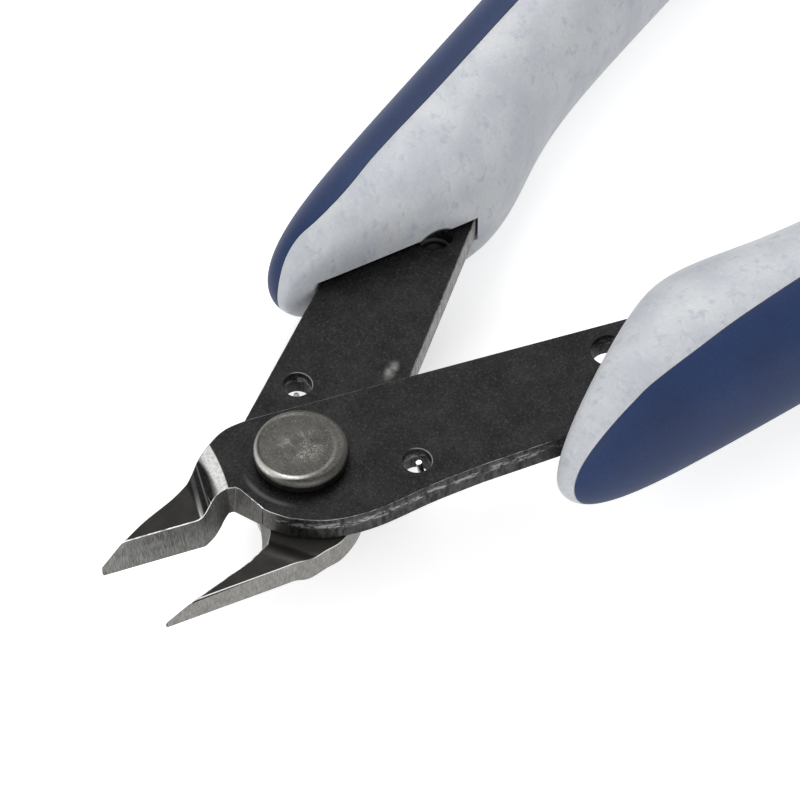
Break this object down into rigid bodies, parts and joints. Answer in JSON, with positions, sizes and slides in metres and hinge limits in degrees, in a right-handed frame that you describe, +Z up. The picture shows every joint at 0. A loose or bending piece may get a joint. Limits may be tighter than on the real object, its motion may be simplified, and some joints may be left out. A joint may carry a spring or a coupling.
{
  "type": "flush cutter",
  "caption": "Small spring-loaded flush cutter with crossed plate blades, bevelled jaws and moulded cushion grips, for trimming wire and component leads.",
  "frame": {"origin": "bottom centre of the bounding box of the tool lying flat with its jaws open", "axes": "+Z up through the rivet, +Y along the tool's centre line from the jaws towards the grip ends, +X towards the front half's grip"},
  "size_m": [0.0678, 0.1278, 0.0172],
  "materials": {
    "black_oxide_steel": "satin black oxide with bright ground bevels",
    "rivet_steel": "tumbled dark steel",
    "spring_steel": "bright drawn wire",
    "speckled_plastic": "pale grey with fine grey speckles, satin",
    "navy_soft_plastic": "soft fine-grained"
  },
  "bodies": {
    "front_half": {"front_blade": "black_oxide_steel", "front_grip_core": "speckled_plastic", "front_grip_cushion": "navy_soft_plastic", "pivot_rivet": "rivet_steel", "rivet_washer": "rivet_steel", "return_spring": "spring_steel"},
    "rear_half": {"rear_blade": "black_oxide_steel", "rear_grip_core": "speckled_plastic", "rear_grip_cushion": "navy_soft_plastic"}
  },
  "joints": [
    {"name": "pivot_hinge", "type": "hinge", "parent": "front_half", "child": "rear_half", "pos_m": [-0.00026, -0.04573, 0.00845], "axis": [0, 0, -1], "range_deg": [0, 21.5], "stiffness_Nm_per_rad": 0.15, "springref_deg": -20.05, "deforming": ["return_spring"]}
  ]
}
